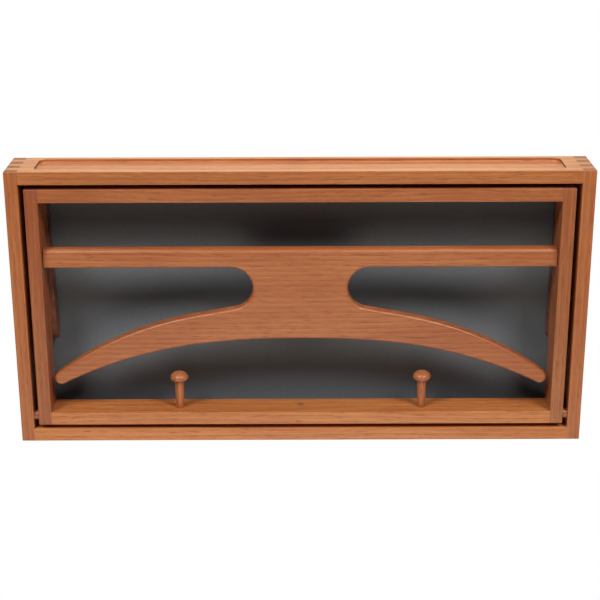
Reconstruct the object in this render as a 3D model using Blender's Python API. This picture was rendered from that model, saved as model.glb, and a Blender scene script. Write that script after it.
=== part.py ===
"""Wall-mounted fold-down clothes valet in oiled oak.

A shallow finger-jointed case with a routed tray on top holds a finger-jointed frame that drops forward
on two wooden dowels. A one-piece hanger swings between the frame's stiles, two turned pegs stand on its
bottom rail, and two leather straps fold away behind the stiles and stop the frame when it is open.

Metres, +Z up, the front faces -Y, and the origin is the middle of the face that lies on the wall.
"""

import math

import bmesh
import bpy
from mathutils import Matrix, Vector

# Case: four boards with finger joints, and a panel let into a rebate at the back
CASE_WIDTH = 0.520
CASE_HEIGHT = 0.2582
CASE_DEPTH = 0.053
CASE_BOARD = 0.012
CASE_FINGERS = 7
PANEL_THICKNESS = 0.004
PANEL_LAP = 0.006

# Shallow tray routed into the top board
TRAY_END_RIM = 0.025
TRAY_LONG_RIM = 0.0065
TRAY_DEPTH = 0.003
TRAY_CORNER = 0.008
TRAY_COVE = 0.0015

# Folding frame and the dowels it turns on
FRAME_SIDE_GAP = 0.0046
FRAME_END_GAP = 0.0043
FRAME_BACK_SPACE = 0.017
FRAME_BOARD = 0.012
FRAME_FINGERS = 5
FRAME_OPEN_ANGLE = math.radians(75)
PIVOT_SETBACK = 0.007
PIVOT_RISE = 0.0078
PIVOT_DIAMETER = 0.0095
PIVOT_SEAT = 0.008

# Hanger: a crossbar, a neck and two arms in one board
HANGER_SETBACK = 0.006
HANGER_THICKNESS = 0.012
HANGER_END_GAP = 0.0008
HANGER_BODY_HEIGHT = 0.086
CROSSBAR_DROP = 0.0451
CROSSBAR_HEIGHT = 0.0175
CROSSBAR_ROUND = 0.0045
NECK_WIDTH = 0.0862
CUTOUT_RADIUS = 0.0198
ARM_END_GAP = 0.0041
ARM_TOP_RADIUS = 0.304
ARM_TOP_OFFSET = 0.0418
ARM_STRAIGHT = 0.0388
ARM_TIP_RADIUS = 0.0059
ARM_UNDER_POWER = 2.5
HANGER_EASE = 0.0026
HANGER_PIN_DIAMETER = 0.006
HANGER_PIN_IN_STILE = 0.008
HANGER_PIN_IN_BAR = 0.014

# Turned pegs and the flush plug on the bottom rail
PEG_INSET = 0.1187
PEG_SETBACK = 0.0134
PEG_STEM_DIAMETER = 0.0085
PEG_FOOT_DIAMETER = 0.0076
PEG_HEAD_DIAMETER = 0.0167
PEG_STEM_HEIGHT = 0.0269
PEG_HEAD_HEIGHT = 0.0086
PEG_HEAD_UNDERSIDE = 0.003
PEG_TENON_DIAMETER = 0.005
PEG_TENON_LENGTH = 0.008
PLUG_DIAMETER = 0.007
PLUG_LENGTH = 0.006
PLUG_SETBACK = 0.018

# Rail inside the case that takes the wall screws, the strap ends and the felt bumpers
RAIL_HEIGHT = 0.025
RAIL_THICKNESS = 0.0087
WALL_SCREW_SPACING = 0.320
WALL_SCREW_HOLE = 0.005
WALL_SCREW_SINK = 0.010
BUMPER_INSET = 0.0538
BUMPER_DIAMETER = 0.009

# Leather straps, each of two lengths that fold over one another, and their screws
STRAP_WIDTH = 0.014
STRAP_THICKNESS = 0.0025
STRAP_SIDE_GAP = 0.0041
STRAP_SEAT = 0.008
STRAP_TAB_LENGTH = 0.012
STRAP_BEND_ABOVE_RAIL_FOOT = 0.0007
SCREW_SHANK_DIAMETER = 0.0026
SCREW_HEAD_DIAMETER = 0.0062
SCREW_HEAD_HEIGHT = 0.0018
SCREW_BITE = 0.009
SCREW_TIP_WALL = 0.0015
WASHER_DIAMETER = 0.009
WASHER_THICKNESS = 0.001

# Shared clearances, easings and facets
FIT_GAP = 0.0003
BOARD_EASE = 0.0006
EASE_SEGMENTS = 2
COVE_SEGMENTS = 3
ROUND_SEGMENTS = 6
CORNER_SEGMENTS = 8
ROUND_SIDES = 32
SMALL_SIDES = 20
QUARTER_STEPS = 6
ARM_STEPS = 14
HEEL_PASSES = 8
ARC_STEP = math.radians(12)
SMOOTH_ANGLE = math.radians(35)
ALIGNED = 0.99
CUT_OVERSHOOT = 0.002

# Places worked out from the sizes above
FRONT = -CASE_DEPTH
CASE_INNER_X = CASE_WIDTH / 2 - CASE_BOARD
CASE_INNER_Z = CASE_HEIGHT / 2 - CASE_BOARD
PANEL_FACE = -PANEL_THICKNESS
FRAME_X = CASE_INNER_X - FRAME_SIDE_GAP
FRAME_Z = CASE_INNER_Z - FRAME_END_GAP
STILE_INNER_X = FRAME_X - FRAME_BOARD
RAIL_INNER_Z = FRAME_Z - FRAME_BOARD
FRAME_BACK = PANEL_FACE - FRAME_BACK_SPACE
FRAME_DEPTH = FRAME_BACK - FRONT
PIVOT = Vector((0, FRONT + PIVOT_SETBACK, -FRAME_Z + PIVOT_RISE))
CROSSBAR_TOP = RAIL_INNER_Z - CROSSBAR_DROP
CROSSBAR_UNDER = CROSSBAR_TOP - CROSSBAR_HEIGHT
HANGER_FRONT = FRONT + HANGER_SETBACK
HANGER_AXIS = Vector((0, HANGER_FRONT + HANGER_THICKNESS / 2, CROSSBAR_TOP - CROSSBAR_HEIGHT / 2))
HANGER_END_X = STILE_INNER_X - HANGER_END_GAP
ARM_REACH = STILE_INNER_X - ARM_END_GAP
RAIL_BACK = PANEL_FACE - FIT_GAP
RAIL_FRONT = RAIL_BACK - RAIL_THICKNESS
RAIL_TOP = CASE_INNER_Z - FIT_GAP
RAIL_FOOT = RAIL_TOP - RAIL_HEIGHT
STRAP_X = CASE_INNER_X - STRAP_SIDE_GAP - STRAP_WIDTH / 2
STRAP_ANCHOR = Vector((0, (RAIL_FRONT + RAIL_BACK) / 2, RAIL_FOOT))
STRAP_BEND = Vector((0, FRAME_BACK + FIT_GAP + STRAP_THICKNESS / 2, RAIL_FOOT + STRAP_BEND_ABOVE_RAIL_FOOT))
SIDES = {"left": -1, "right": 1}


def turned_open(point):
    """The place of a point of the frame once the frame has dropped to its open angle."""
    return PIVOT + Matrix.Rotation(FRAME_OPEN_ANGLE, 3, "X") @ (point - PIVOT)


STRAP_LENGTH = (STRAP_ANCHOR - turned_open(STRAP_BEND)).length
STRAP_FOLD = Vector((
    0,
    (STRAP_ANCHOR.y + STRAP_BEND.y) / 2,
    (STRAP_ANCHOR.z + STRAP_BEND.z - STRAP_LENGTH) / 2,
))


# Helpers: materials, meshes and objects


def clear_scene():
    for obj in list(bpy.data.objects):
        bpy.data.objects.remove(obj)


def finish(name, colour, roughness, metallic=0.0):
    """A Principled material; colour is linear RGB."""
    material = bpy.data.materials.new(name)
    material.use_nodes = True
    shader = material.node_tree.nodes["Principled BSDF"]
    shader.inputs["Base Color"].default_value = (*colour, 1.0)
    shader.inputs["Roughness"].default_value = roughness
    shader.inputs["Metallic"].default_value = metallic
    return material


def axis_empty(name, place):
    """An empty on a joint's axis, which carries the pieces that turn there."""
    empty = bpy.data.objects.new(name, None)
    empty.location = place
    bpy.context.scene.collection.objects.link(empty)
    return empty


def add_piece(name, shape, material, carrier):
    """Makes a named object from a mesh drawn in place, with its origin on its carrier's axis."""
    bmesh.ops.translate(shape, vec=-carrier.location, verts=shape.verts)
    bmesh.ops.recalc_face_normals(shape, faces=shape.faces)
    mesh = bpy.data.meshes.new(name)
    shape.to_mesh(mesh)
    shape.free()
    mesh.shade_smooth()
    mesh.set_sharp_from_angle(angle=SMOOTH_ANGLE)
    mesh.materials.append(material)
    obj = bpy.data.objects.new(name, mesh)
    bpy.context.scene.collection.objects.link(obj)
    obj.parent = carrier
    return obj


def cut(target, shape):
    """Cuts a closed shape, drawn in place, out of an object."""
    bmesh.ops.recalc_face_normals(shape, faces=shape.faces)
    name = f"cutter_{len(bpy.data.objects)}"
    mesh = bpy.data.meshes.new(name)
    shape.to_mesh(mesh)
    shape.free()
    cutter = bpy.data.objects.new(name, mesh)
    cutter.hide_render = True
    cutter.display_type = "WIRE"
    bpy.context.scene.collection.objects.link(cutter)
    boolean = target.modifiers.new(name, "BOOLEAN")
    boolean.operation = "DIFFERENCE"
    boolean.solver = "EXACT"
    boolean.object = cutter


def block(low, high):
    """A box between two corners."""
    shape = bmesh.new()
    bmesh.ops.create_cube(shape, size=1.0)
    low = Vector(low)
    high = Vector(high)
    bmesh.ops.scale(shape, vec=high - low, verts=shape.verts)
    bmesh.ops.translate(shape, vec=(low + high) / 2, verts=shape.verts)
    return shape


def ease(shape, edges, width, segments=EASE_SEGMENTS):
    """Rounds the given edges over a small width."""
    bmesh.ops.bevel(
        shape, geom=edges, offset=width, segments=segments, profile=0.5, affect="EDGES", clamp_overlap=True
    )


def edges_along(shape, axis):
    """The edges that run along one axis, given as 0, 1 or 2."""
    found = []
    for edge in shape.edges:
        run = edge.verts[1].co - edge.verts[0].co
        if abs(run[axis]) > ALIGNED * run.length:
            found.append(edge)
    return found


def board(low, high):
    """A box whose four long edges are eased."""
    shape = block(low, high)
    sides = [high[i] - low[i] for i in range(3)]
    ease(shape, edges_along(shape, sides.index(max(sides))), BOARD_EASE)
    return shape


def turned(profile, place, direction, sides=ROUND_SIDES):
    """A turned solid from (radius, height) points, whose first and last lie on its axis."""
    shape = bmesh.new()
    rings = []
    for radius, height in profile:
        count = sides if radius > 0 else 1
        ring = []
        for i in range(count):
            angle = math.tau * i / sides
            ring.append(shape.verts.new((radius * math.cos(angle), radius * math.sin(angle), height)))
        rings.append(ring)
    for lower, upper in zip(rings, rings[1:]):
        for i in range(sides):
            j = (i + 1) % sides
            below = [lower[i % len(lower)], lower[j % len(lower)]]
            above = [upper[j % len(upper)], upper[i % len(upper)]]
            shape.faces.new(list(dict.fromkeys(below + above)))
    turn = Vector((0, 0, 1)).rotation_difference(Vector(direction)).to_matrix().to_4x4()
    bmesh.ops.transform(shape, matrix=Matrix.Translation(place) @ turn, verts=shape.verts)
    return shape


def rod(diameter, start, end, sides=ROUND_SIDES):
    """A plain round rod between two points."""
    start = Vector(start)
    run = Vector(end) - start
    radius = diameter / 2
    return turned([(0, 0), (radius, 0), (radius, run.length), (0, run.length)], start, run, sides)


def prism(outline, near, far):
    """A solid between two planes of Y from an outline of (x, z) points."""
    shape = bmesh.new()
    face = shape.faces.new([shape.verts.new((x, near, z)) for x, z in outline])
    made = bmesh.ops.extrude_face_region(shape, geom=[face])
    new = [item for item in made["geom"] if isinstance(item, bmesh.types.BMVert)]
    bmesh.ops.translate(shape, vec=(0, far - near, 0), verts=new)
    return shape


def quarter_turn(angle=math.pi / 2):
    """Even steps from 0 to a quarter turn, or to an angle near it, ends included."""
    return [angle * i / QUARTER_STEPS for i in range(QUARTER_STEPS + 1)]


def arc(centre, radius, start, end):
    """Points on a circle from one angle to another, ends included."""
    steps = max(2, math.ceil(abs(end - start) / ARC_STEP))
    angles = [start + (end - start) * i / steps for i in range(steps + 1)]
    return [(centre[0] + radius * math.cos(a), centre[1] + radius * math.sin(a)) for a in angles]


# Finger joints


def finger_slots(fingers, depth, odd):
    """The (near, far) spans in Y of every second finger, each a joint gap wider than its share."""
    share = depth / fingers
    spans = []
    for i in range(odd, fingers, 2):
        near = FRONT + i * share - FIT_GAP / 2
        far = near + share + FIT_GAP
        if i == 0:
            near -= CUT_OVERSHOOT
        if i == fingers - 1:
            far += CUT_OVERSHOOT
        spans.append((near, far))
    return spans


def notch_ends(upright, half_height, thickness, fingers, depth):
    """Notches both ends of an upright board for the fingers of the boards that lie across it."""
    reach = CASE_WIDTH
    for near, far in finger_slots(fingers, depth, odd=1):
        for end in (-1, 1):
            inner = end * (half_height - thickness - FIT_GAP)
            outer = end * (half_height + CUT_OVERSHOOT)
            cut(upright, block((-reach, near, min(inner, outer)), (reach, far, max(inner, outer))))


def notch_lying(lying, half_width, thickness, fingers, depth):
    """Notches both ends of a lying board for the fingers of the uprights."""
    reach = CASE_HEIGHT
    for near, far in finger_slots(fingers, depth, odd=0):
        for end in (-1, 1):
            inner = end * (half_width - thickness - FIT_GAP)
            outer = end * (half_width + CUT_OVERSHOOT)
            cut(lying, block((min(inner, outer), near, -reach), (max(inner, outer), far, reach)))


# Case


def tray_cutter():
    """A flat-bottomed hollow with round corners and a small cove round its floor."""
    half_x = CASE_WIDTH / 2 - TRAY_END_RIM
    floor = CASE_HEIGHT / 2 - TRAY_DEPTH
    shape = block(
        (-half_x, FRONT + TRAY_LONG_RIM, floor),
        (half_x, -TRAY_LONG_RIM, CASE_HEIGHT / 2 + CUT_OVERSHOOT),
    )
    ease(shape, edges_along(shape, 2), TRAY_CORNER, segments=CORNER_SEGMENTS)
    under = [e for e in shape.edges if all(abs(v.co.z - floor) < FIT_GAP for v in e.verts)]
    ease(shape, under, TRAY_COVE, segments=COVE_SEGMENTS)
    return shape


def panel_box(spare):
    """The corners of the back panel, or with spare of the rebate that it lies in."""
    x = CASE_INNER_X + PANEL_LAP + spare
    z = CASE_INNER_Z + PANEL_LAP + spare
    return (-x, PANEL_FACE - spare, -z), (x, CUT_OVERSHOOT if spare else 0, z)


def wall_screw_cut(target, hole_from):
    """Drills the two wall-screw holes through a piece."""
    for sign in SIDES.values():
        x = sign * WALL_SCREW_SPACING / 2
        z = (RAIL_TOP + RAIL_FOOT) / 2
        cut(target, rod(WALL_SCREW_HOLE, (x, hole_from, z), (x, CUT_OVERSHOOT, z), SMALL_SIDES))


def make_case(case, wood, laminate, felt):
    half_x = CASE_WIDTH / 2
    half_z = CASE_HEIGHT / 2
    boards = []
    for name, sign in (("case_top", 1), ("case_bottom", -1)):
        low_z, high_z = sorted((sign * CASE_INNER_Z, sign * half_z))
        lying = add_piece(name, board((-half_x, FRONT, low_z), (half_x, 0, high_z)), wood, case)
        notch_lying(lying, half_x, CASE_BOARD, CASE_FINGERS, CASE_DEPTH)
        boards.append(lying)
    cut(boards[0], tray_cutter())
    for side, sign in SIDES.items():
        low_x, high_x = sorted((sign * CASE_INNER_X, sign * half_x))
        shape = board((low_x, FRONT, -half_z), (high_x, 0, half_z))
        upright = add_piece(f"case_side_{side}", shape, wood, case)
        notch_ends(upright, half_z, CASE_BOARD, CASE_FINGERS, CASE_DEPTH)
        start = Vector((sign * (CASE_INNER_X - CUT_OVERSHOOT), PIVOT.y, PIVOT.z))
        end = Vector((sign * (CASE_INNER_X + PIVOT_SEAT + FIT_GAP), PIVOT.y, PIVOT.z))
        cut(upright, rod(PIVOT_DIAMETER + 2 * FIT_GAP, start, end))
        boards.append(upright)
    for piece in boards:
        cut(piece, block(*panel_box(FIT_GAP)))
    panel = add_piece("back_panel", block(*panel_box(0)), laminate, case)
    wall_screw_cut(panel, PANEL_FACE - CUT_OVERSHOOT)
    make_hanging_rail(case, wood)
    make_bumpers(case, felt)


def make_hanging_rail(case, wood):
    half_x = CASE_INNER_X - FIT_GAP
    rail = add_piece(
        "hanging_rail", board((-half_x, RAIL_FRONT, RAIL_FOOT), (half_x, RAIL_BACK, RAIL_TOP)), wood, case
    )
    wall_screw_cut(rail, RAIL_FRONT - CUT_OVERSHOOT)
    sink = WALL_SCREW_SINK / 2
    tip = WALL_SCREW_HOLE / 2
    for sign in SIDES.values():
        place = (sign * WALL_SCREW_SPACING / 2, RAIL_FRONT - FIT_GAP, (RAIL_TOP + RAIL_FOOT) / 2)
        cone = [(0, 0), (sink + FIT_GAP, 0), (tip, sink - tip + FIT_GAP), (0, sink - tip + FIT_GAP)]
        cut(rail, turned(cone, place, (0, 1, 0), SMALL_SIDES))
        slot_x = STRAP_WIDTH / 2 + FIT_GAP
        slot_y = STRAP_THICKNESS / 2 + FIT_GAP
        centre = sign * STRAP_X
        low = (centre - slot_x, STRAP_ANCHOR.y - slot_y, RAIL_FOOT - CUT_OVERSHOOT)
        high = (centre + slot_x, STRAP_ANCHOR.y + slot_y, RAIL_FOOT + STRAP_SEAT + FIT_GAP)
        cut(rail, strap_screw_hole(centre))
        cut(rail, block(low, high))


def make_bumpers(case, felt):
    """Felt discs on the hanging rail that meet the frame's top rail when it is shut."""
    for side, sign in SIDES.items():
        radius = BUMPER_DIAMETER / 2
        length = RAIL_FRONT - FRAME_BACK - 2 * FIT_GAP
        place = (sign * (FRAME_X - BUMPER_INSET), FRAME_BACK + FIT_GAP, (RAIL_INNER_Z + FRAME_Z) / 2)
        edge = BOARD_EASE
        profile = [(0, 0), (radius - edge, 0), (radius, edge), (radius, length), (0, length)]
        add_piece(f"bumper_{side}", turned(profile, place, (0, 1, 0), SMALL_SIDES), felt, case)


def make_frame_pivots(case, wood):
    for side, sign in SIDES.items():
        start = (sign * (FRAME_X - PIVOT_SEAT), PIVOT.y, PIVOT.z)
        end = (sign * (CASE_INNER_X + PIVOT_SEAT), PIVOT.y, PIVOT.z)
        add_piece(f"frame_pivot_{side}", rod(PIVOT_DIAMETER, start, end), wood, case)


# Folding frame


def pivot_bore(sign):
    start = (sign * (FRAME_X - PIVOT_SEAT - FIT_GAP), PIVOT.y, PIVOT.z)
    end = (sign * (FRAME_X + CUT_OVERSHOOT), PIVOT.y, PIVOT.z)
    return rod(PIVOT_DIAMETER + 2 * FIT_GAP, start, end)


def hanger_pin_bore(sign):
    """The hole for a hanger pin, through the joint between stile and crossbar."""
    start = (sign * (HANGER_END_X - HANGER_PIN_IN_BAR - FIT_GAP), HANGER_AXIS.y, HANGER_AXIS.z)
    end = (sign * (STILE_INNER_X + HANGER_PIN_IN_STILE + FIT_GAP), HANGER_AXIS.y, HANGER_AXIS.z)
    return rod(HANGER_PIN_DIAMETER + 2 * FIT_GAP, start, end, SMALL_SIDES)


def make_frame(frame, wood, dark_wood):
    rails = {}
    for name, sign in (("frame_top_rail", 1), ("frame_bottom_rail", -1)):
        low_z, high_z = sorted((sign * RAIL_INNER_Z, sign * FRAME_Z))
        lying = add_piece(name, board((-FRAME_X, FRONT, low_z), (FRAME_X, FRAME_BACK, high_z)), wood, frame)
        notch_lying(lying, FRAME_X, FRAME_BOARD, FRAME_FINGERS, FRAME_DEPTH)
        rails[name] = lying
    bottom = rails["frame_bottom_rail"]
    for side, sign in SIDES.items():
        low_x, high_x = sorted((sign * STILE_INNER_X, sign * FRAME_X))
        shape = board((low_x, FRONT, -FRAME_Z), (high_x, FRAME_BACK, FRAME_Z))
        stile = add_piece(f"frame_stile_{side}", shape, wood, frame)
        notch_ends(stile, FRAME_Z, FRAME_BOARD, FRAME_FINGERS, FRAME_DEPTH)
        cut(stile, pivot_bore(sign))
        cut(bottom, pivot_bore(sign))
        cut(stile, hanger_pin_bore(sign))
        cut(stile, tab_screw_hole(sign * STRAP_X))
    make_pegs(frame, wood, bottom)
    make_plug(frame, dark_wood, bottom)
    make_hanger_pins(frame, wood)


def peg_profile():
    """Tenon, a stem that tapers to its foot and a domed head, turned in one piece."""
    tenon = PEG_TENON_DIAMETER / 2
    foot = PEG_FOOT_DIAMETER / 2
    stem = PEG_STEM_DIAMETER / 2
    head = PEG_HEAD_DIAMETER / 2
    shoulder = FIT_GAP
    top = shoulder + PEG_STEM_HEIGHT
    widest = top + PEG_HEAD_UNDERSIDE
    profile = [(0, -PEG_TENON_LENGTH), (tenon, -PEG_TENON_LENGTH), (tenon, shoulder), (foot, shoulder)]
    for angle in quarter_turn():
        radius = stem + (head - stem) * math.sin(angle)
        profile.append((radius, widest - PEG_HEAD_UNDERSIDE * math.cos(angle)))
    dome = PEG_HEAD_HEIGHT - PEG_HEAD_UNDERSIDE
    for angle in quarter_turn()[1:-1]:
        profile.append((head * math.cos(angle), widest + dome * math.sin(angle)))
    profile.append((0, top + PEG_HEAD_HEIGHT))
    return profile


def make_pegs(frame, wood, bottom):
    for side, sign in SIDES.items():
        foot = Vector((sign * (STILE_INNER_X - PEG_INSET), FRONT + PEG_SETBACK, -RAIL_INNER_Z))
        add_piece(f"peg_{side}", turned(peg_profile(), foot, (0, 0, 1)), wood, frame)
        deep = foot - Vector((0, 0, PEG_TENON_LENGTH + FIT_GAP))
        mouth = foot + Vector((0, 0, CUT_OVERSHOOT))
        cut(bottom, rod(PEG_TENON_DIAMETER + 2 * FIT_GAP, deep, mouth, SMALL_SIDES))


def make_plug(frame, dark_wood, bottom):
    top = Vector((0, FRONT + PLUG_SETBACK, -RAIL_INNER_Z))
    foot = top - Vector((0, 0, PLUG_LENGTH))
    add_piece("rail_plug", rod(PLUG_DIAMETER, foot, top, SMALL_SIDES), dark_wood, frame)
    deep = foot - Vector((0, 0, FIT_GAP))
    mouth = top + Vector((0, 0, CUT_OVERSHOOT))
    cut(bottom, rod(PLUG_DIAMETER + 2 * FIT_GAP, deep, mouth, SMALL_SIDES))


def make_hanger_pins(frame, wood):
    for side, sign in SIDES.items():
        start = (sign * (HANGER_END_X - HANGER_PIN_IN_BAR), HANGER_AXIS.y, HANGER_AXIS.z)
        end = (sign * (STILE_INNER_X + HANGER_PIN_IN_STILE), HANGER_AXIS.y, HANGER_AXIS.z)
        add_piece(f"hanger_pivot_{side}", rod(HANGER_PIN_DIAMETER, start, end, SMALL_SIDES), wood, frame)


# Hanger


def arm_outline():
    """Half of the hanger from the crossbar's end down to the middle of its lower edge, as (x, z) points."""
    cut_centre = Vector((NECK_WIDTH / 2 + CUTOUT_RADIUS, CROSSBAR_UNDER - CUTOUT_RADIUS))
    radii = CUTOUT_RADIUS + ARM_TOP_RADIUS
    across = cut_centre.x - ARM_TOP_OFFSET
    drop = math.sqrt(radii**2 + ARM_STRAIGHT**2 - across**2)
    arm_centre = Vector((ARM_TOP_OFFSET, cut_centre.y - drop))
    meet = math.atan2(drop, across) - math.atan2(ARM_STRAIGHT, radii)
    inner = ARM_TOP_RADIUS - ARM_TIP_RADIUS
    tip_angle = math.acos((ARM_REACH - ARM_TIP_RADIUS - arm_centre.x) / inner)
    tip = arm_centre + inner * Vector((math.cos(tip_angle), math.sin(tip_angle)))
    apex = CROSSBAR_TOP - HANGER_BODY_HEIGHT
    lean = 0.0
    for _ in range(HEEL_PASSES):
        heel = tip - ARM_TIP_RADIUS * Vector((math.sin(lean), math.cos(lean)))
        lean = math.atan(ARM_UNDER_POWER * (apex - heel.y) / heel.x)
    points = [(HANGER_END_X, CROSSBAR_TOP), (HANGER_END_X, CROSSBAR_UNDER)]
    points += arc(cut_centre, CUTOUT_RADIUS, math.pi / 2, math.pi + meet)
    for i in range(ARM_STEPS + 1):
        angle = meet + (tip_angle - meet) * i / ARM_STEPS
        points.append((
            arm_centre.x + ARM_TOP_RADIUS * math.cos(angle),
            arm_centre.y + ARM_TOP_RADIUS * math.sin(angle),
        ))
    points += arc(tip, ARM_TIP_RADIUS, tip_angle, -math.pi / 2 - lean)[1:]
    for i in range(1, ARM_STEPS + 1):
        x = heel.x * (1 - i / ARM_STEPS)
        points.append((x, apex - (apex - heel.y) * (x / heel.x) ** ARM_UNDER_POWER))
    return points


def on_crest(edge):
    """Whether an edge is the crossbar's upper front edge."""
    return all(
        abs(v.co.z - CROSSBAR_TOP) < FIT_GAP and abs(v.co.y - HANGER_FRONT) < FIT_GAP for v in edge.verts
    )


def make_hanger(hanger_axis, wood):
    half = arm_outline()
    outline = half + [(-x, z) for x, z in reversed(half[:-1])]
    shape = prism(outline, HANGER_FRONT, HANGER_FRONT + HANGER_THICKNESS)
    long_edges = [e for e in shape.edges if abs(e.verts[0].co.y - e.verts[1].co.y) < FIT_GAP]
    ends = [e for e in long_edges if all(abs(abs(v.co.x) - HANGER_END_X) < FIT_GAP for v in e.verts)]
    rest = [e for e in long_edges if e not in ends and not on_crest(e)]
    ease(shape, rest, HANGER_EASE)
    crest = [e for e in shape.edges if on_crest(e)]
    ease(shape, crest, CROSSBAR_ROUND, segments=ROUND_SEGMENTS)
    hanger = add_piece("hanger", shape, wood, hanger_axis)
    for sign in SIDES.values():
        cut(hanger, hanger_pin_bore(sign))


# Straps and their screws


def strap_screw_hole(x):
    """The blind hole into the hanging rail, through the strap end in its slot."""
    z = RAIL_FOOT + STRAP_SEAT / 2
    hole = SCREW_SHANK_DIAMETER + 2 * FIT_GAP
    return rod(hole, (x, RAIL_FRONT - CUT_OVERSHOOT, z), (x, RAIL_BACK - SCREW_TIP_WALL, z), SMALL_SIDES)


def tab_screw_place(x):
    """Where a screw through the strap's tab meets the back of the stile."""
    return Vector((x, FRAME_BACK, STRAP_BEND.z + FIT_GAP + STRAP_TAB_LENGTH / 2))


def tab_screw_hole(x):
    place = tab_screw_place(x)
    hole = SCREW_SHANK_DIAMETER + 2 * FIT_GAP
    start = place - Vector((0, SCREW_BITE + FIT_GAP, 0))
    return rod(hole, start, place + Vector((0, 2 * CUT_OVERSHOOT + STRAP_THICKNESS, 0)), SMALL_SIDES)


def screw_profile(shank_length):
    """A round-headed screw whose head starts at height 0 and whose shank runs down from it."""
    shank = SCREW_SHANK_DIAMETER / 2
    head = SCREW_HEAD_DIAMETER / 2
    profile = [(0, -shank_length), (shank, -shank_length), (shank, 0), (head, 0)]
    for angle in quarter_turn()[1:-1]:
        profile.append((head * math.cos(angle), SCREW_HEAD_HEIGHT * math.sin(angle)))
    profile.append((0, SCREW_HEAD_HEIGHT))
    return profile


def strap_half(x, straight_y, top, bend_toward):
    """One length of strap hanging at a depth, with a quarter bend at its foot that meets the other length."""
    radius = abs(straight_y - STRAP_FOLD.y)
    angles = quarter_turn(math.pi / 2 - FIT_GAP / radius / 2)
    lines = []
    for reach in (radius + STRAP_THICKNESS / 2, radius - STRAP_THICKNESS / 2):
        line = [(STRAP_FOLD.y - bend_toward * reach, top)]
        for angle in angles:
            y = STRAP_FOLD.y - bend_toward * reach * math.cos(angle)
            line.append((y, STRAP_FOLD.z - reach * math.sin(angle)))
        lines.append(line)
    outer, inner = lines
    edge = outer + inner[::-1]
    shape = bmesh.new()
    left = x - STRAP_WIDTH / 2
    face = shape.faces.new([shape.verts.new((left, y, z)) for y, z in edge])
    made = bmesh.ops.extrude_face_region(shape, geom=[face])
    new = [item for item in made["geom"] if isinstance(item, bmesh.types.BMVert)]
    bmesh.ops.translate(shape, vec=(STRAP_WIDTH, 0, 0), verts=new)
    return shape


def make_straps(case, frame, leather, brass):
    for side, sign in SIDES.items():
        x = sign * STRAP_X
        across = Vector((x, 0, 0))
        anchor = axis_empty(f"strap_anchor_axis_{side}", STRAP_ANCHOR + across)
        fold = axis_empty(f"strap_fold_axis_{side}", STRAP_FOLD + across)
        upper_shape = strap_half(x, STRAP_ANCHOR.y, RAIL_FOOT + STRAP_SEAT, -1)
        upper = add_piece(f"strap_upper_{side}", upper_shape, leather, anchor)
        cut(upper, strap_screw_hole(x))
        lower_shape = strap_half(x, STRAP_BEND.y, STRAP_BEND.z, 1)
        add_piece(f"strap_lower_{side}", lower_shape, leather, fold)
        make_tab(side, x, frame, leather, brass)
        place = Vector((x, RAIL_FRONT - FIT_GAP, RAIL_FOOT + STRAP_SEAT / 2))
        case_screw = turned(screw_profile(RAIL_THICKNESS - SCREW_TIP_WALL), place, (0, -1, 0), SMALL_SIDES)
        add_piece(f"strap_case_screw_{side}", case_screw, brass, case)


def make_tab(side, x, frame, leather, brass):
    """The end of a strap that is screwed flat to the back of a stile."""
    half = STRAP_WIDTH / 2
    near = FRAME_BACK + FIT_GAP
    far = near + STRAP_THICKNESS
    foot = STRAP_BEND.z + FIT_GAP
    tab_shape = block((x - half, near, foot), (x + half, far, foot + STRAP_TAB_LENGTH))
    tab = add_piece(f"strap_tab_{side}", tab_shape, leather, frame)
    cut(tab, tab_screw_hole(x))
    place = tab_screw_place(x)
    washer_near = far + FIT_GAP
    washer_far = washer_near + WASHER_THICKNESS
    hole = SCREW_SHANK_DIAMETER + 2 * FIT_GAP
    washer_shape = rod(WASHER_DIAMETER, (x, washer_near, place.z), (x, washer_far, place.z), SMALL_SIDES)
    washer = add_piece(f"strap_washer_{side}", washer_shape, brass, frame)
    cut(washer, rod(hole, (x, near, place.z), (x, washer_far + CUT_OVERSHOOT, place.z), SMALL_SIDES))
    seat = Vector((x, washer_far + FIT_GAP, place.z))
    shank_length = seat.y - FRAME_BACK + SCREW_BITE
    screw = turned(screw_profile(shank_length), seat, (0, 1, 0), SMALL_SIDES)
    add_piece(f"strap_screw_{side}", screw, brass, frame)


def main():
    clear_scene()
    oak = finish("oiled_oak", (0.40, 0.15, 0.062), 0.48)
    end_grain_oak = finish("end_grain_oak", (0.28, 0.11, 0.05), 0.55)
    laminate = finish("dark_grey_laminate", (0.085, 0.088, 0.092), 0.55)
    leather = finish("brown_leather", (0.17, 0.055, 0.027), 0.6)
    felt = finish("brown_felt", (0.06, 0.035, 0.022), 0.95)
    brass = finish("brass", (0.62, 0.42, 0.16), 0.3, 1.0)
    case = axis_empty("case", Vector((0, 0, 0)))
    frame = axis_empty("frame_fold_axis", PIVOT)
    hanger_axis = axis_empty("hanger_swing_axis", HANGER_AXIS)
    make_case(case, oak, laminate, felt)
    make_frame_pivots(case, oak)
    make_frame(frame, oak, end_grain_oak)
    make_hanger(hanger_axis, oak)
    make_straps(case, frame, leather, brass)


main()
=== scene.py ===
"""Looks of a wall-mounted fold-down clothes valet in oiled oak.

Every piece is modelled where its solid stands in the frame, rides on the same body and gets its finish.
Metres, +Z up, the front faces -Y, and the wall is at Y = 0.
"""

import logging
import math
from collections.abc import Callable, Iterator
from contextlib import contextmanager
from dataclasses import dataclass, field, replace
from enum import Enum

import bmesh
import bpy
from mathutils import Matrix, Vector

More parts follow.
